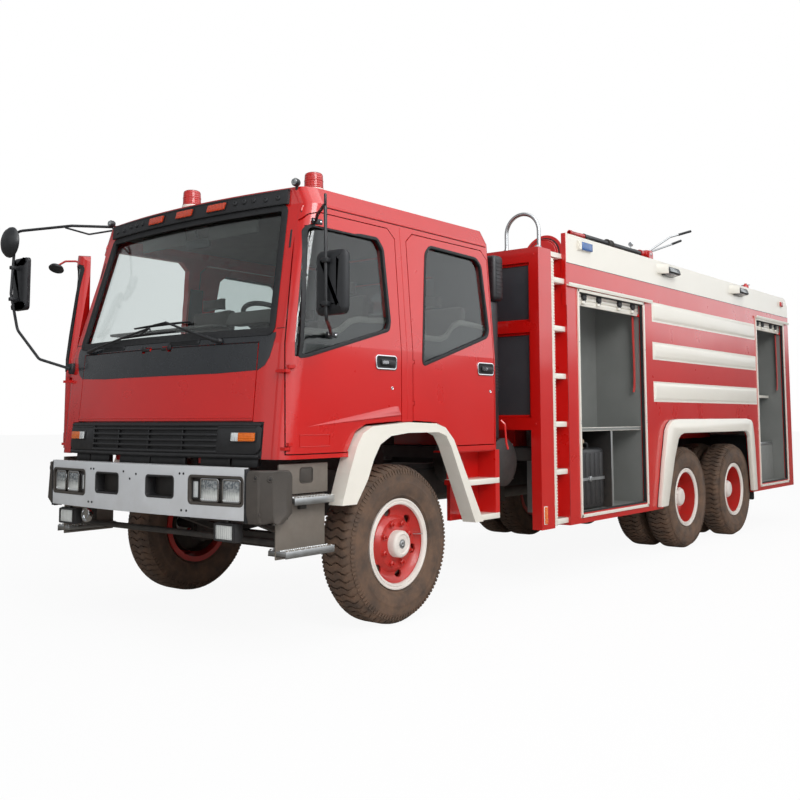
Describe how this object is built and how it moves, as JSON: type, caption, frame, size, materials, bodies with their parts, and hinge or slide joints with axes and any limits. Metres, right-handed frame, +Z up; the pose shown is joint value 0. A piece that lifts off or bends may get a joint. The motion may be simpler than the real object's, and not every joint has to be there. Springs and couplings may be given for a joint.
{
  "type": "water tanker fire truck",
  "caption": "Cab-over crew-cab water tanker fire truck with tilting cab, hinged doors, steered front wheels, tool lockers and a roof water monitor.",
  "frame": {"origin": "on the ground below the middle of the front axle", "axes": "+Z up, the truck's front towards -Y, its left side towards +X"},
  "size_m": [3.7196, 9.45, 3.8288],
  "materials": {
    "red_paint": "gloss",
    "white_paint": "gloss",
    "bumper_grey": "satin",
    "rim_red": "satin",
    "dark_plastic": "matte",
    "black_plastic": "satin",
    "tyre": "matte",
    "glass": "clear",
    "frame_black": "satin",
    "iron": "satin",
    "locker_grey": "satin",
    "aluminium": "brushed",
    "seat_fabric": "matte",
    "lamp_lens": "gloss",
    "mirror_black": "satin"
  },
  "bodies": {
    "chassis": {"chassis_frame": "frame_black", "cross_members": "frame_black", "front_axle": "frame_black", "rear_axles": "frame_black", "engine_block": "iron", "driveline": "iron", "fuel_tank": "frame_black", "air_intake": "frame_black", "front_bumper": "bumper_grey", "bumper_ends": "dark_plastic", "lamps": "lamp_lens", "side_panel_left": "red_paint", "side_panel_right": "red_paint", "fender_trims": "white_paint", "body_front": "red_paint", "ladders": "white_paint", "locker_linings": "locker_grey", "shutters": "aluminium", "body_floor": "frame_black", "water_tank": "red_paint", "roof_deck": "red_paint", "rear_panel": "red_paint"},
    "cab": {"cab_shell": "red_paint", "cab_floor": "red_paint", "cab_glass": "glass", "grille": "black_plastic", "arch_trims": "white_paint", "cab_lamps": "lamp_lens", "seats": "seat_fabric", "dashboard": "dark_plastic", "steering_wheel": "black_plastic", "right_mirror": "mirror_black", "header_band": "black_plastic"},
    "front_left_door": {"door_front_left": "red_paint", "door_glass_front_left": "glass", "left_mirror": "mirror_black"},
    "front_right_door": {"door_front_right": "red_paint", "door_glass_front_right": "glass"},
    "rear_left_door": {"door_rear_left": "red_paint", "door_glass_rear_left": "glass"},
    "rear_right_door": {"door_rear_right": "red_paint", "door_glass_rear_right": "glass"},
    "service_lid": {"front_lid": "red_paint"},
    "tank_lid": {"manhole_lid": "red_paint"},
    "turret": {"monitor_turret": "red_paint"},
    "barrel": {"monitor_barrel": "red_paint"},
    "left_knuckle": {"knuckle_left": "frame_black"},
    "right_knuckle": {"knuckle_right": "frame_black"},
    "left_front_wheel": {"tyre_front_left": "tyre", "wheel_front_left": "rim_red"},
    "right_front_wheel": {"tyre_front_right": "tyre", "wheel_front_right": "rim_red"},
    "left_rear_wheels_1": {"tyres_rear_1_left": "tyre", "wheels_rear_1_left": "rim_red"},
    "left_rear_wheels_2": {"tyres_rear_2_left": "tyre", "wheels_rear_2_left": "rim_red"},
    "right_rear_wheels_1": {"tyres_rear_1_right": "tyre", "wheels_rear_1_right": "rim_red"},
    "right_rear_wheels_2": {"tyres_rear_2_right": "tyre", "wheels_rear_2_right": "rim_red"}
  },
  "joints": [
    {"name": "cab_tilt", "type": "hinge", "parent": "chassis", "child": "cab", "pos_m": [0, -1.06, 1.1], "axis": [1, 0, 0], "range_deg": [0, 45]},
    {"name": "front_left_door_hinge", "type": "hinge", "parent": "cab", "child": "front_left_door", "pos_m": [1.174, -1.035, 1.8], "axis": [0, 0, -1], "range_deg": [0, 70]},
    {"name": "front_right_door_hinge", "type": "hinge", "parent": "cab", "child": "front_right_door", "pos_m": [-1.174, -1.035, 1.8], "axis": [0, 0, 1], "range_deg": [-57, 13]},
    {"name": "rear_left_door_hinge", "type": "hinge", "parent": "cab", "child": "rear_left_door", "pos_m": [1.186, 0.116, 1.8], "axis": [0, 0, -1], "range_deg": [0, 70]},
    {"name": "rear_right_door_hinge", "type": "hinge", "parent": "cab", "child": "rear_right_door", "pos_m": [-1.186, 0.116, 1.8], "axis": [0, 0, 1], "range_deg": [0, 70]},
    {"name": "service_lid_hinge", "type": "hinge", "parent": "cab", "child": "service_lid", "pos_m": [0, -1.108, 1.806], "axis": [-1, 0, 0], "range_deg": [0, 80]},
    {"name": "steer_left", "type": "hinge", "parent": "chassis", "child": "left_knuckle", "pos_m": [0.87, 0, 0.52], "axis": [0, 0, 1], "range_deg": [-35, 35]},
    {"name": "steer_right", "type": "hinge", "parent": "chassis", "child": "right_knuckle", "pos_m": [-0.87, 0, 0.52], "axis": [0, 0, 1], "range_deg": [-35, 35]},
    {"name": "spin_front_left", "type": "hinge", "parent": "left_knuckle", "child": "left_front_wheel", "pos_m": [1.04, 0, 0.52], "axis": [1, 0, 0], "continuous": true},
    {"name": "spin_front_right", "type": "hinge", "parent": "right_knuckle", "child": "right_front_wheel", "pos_m": [-1.04, 0, 0.52], "axis": [1, 0, 0], "continuous": true},
    {"name": "spin_rear_1_left", "type": "hinge", "parent": "chassis", "child": "left_rear_wheels_1", "pos_m": [0.924, 4.65, 0.52], "axis": [1, 0, 0], "continuous": true},
    {"name": "spin_rear_2_left", "type": "hinge", "parent": "chassis", "child": "left_rear_wheels_2", "pos_m": [0.924, 6.02, 0.52], "axis": [1, 0, 0], "continuous": true},
    {"name": "spin_rear_1_right", "type": "hinge", "parent": "chassis", "child": "right_rear_wheels_1", "pos_m": [-0.924, 4.65, 0.52], "axis": [1, 0, 0], "continuous": true},
    {"name": "spin_rear_2_right", "type": "hinge", "parent": "chassis", "child": "right_rear_wheels_2", "pos_m": [-0.924, 6.02, 0.52], "axis": [1, 0, 0], "continuous": true},
    {"name": "monitor_yaw", "type": "hinge", "parent": "chassis", "child": "turret", "pos_m": [0, 6.38, 3.176], "axis": [0, 0, 1], "range_deg": [-170, 170]},
    {"name": "monitor_pitch", "type": "hinge", "parent": "turret", "child": "barrel", "pos_m": [0, 6.38, 3.436], "axis": [-1, 0, 0], "range_deg": [-10, 60]},
    {"name": "tank_lid_hinge", "type": "hinge", "parent": "chassis", "child": "tank_lid", "pos_m": [0, 3.805, 2.807], "axis": [-1, 0, 0], "range_deg": [-100, 0]}
  ],
  "couplings": [
    {"joint": "steer_right", "follows": "steer_left", "ratio": 1}
  ]
}
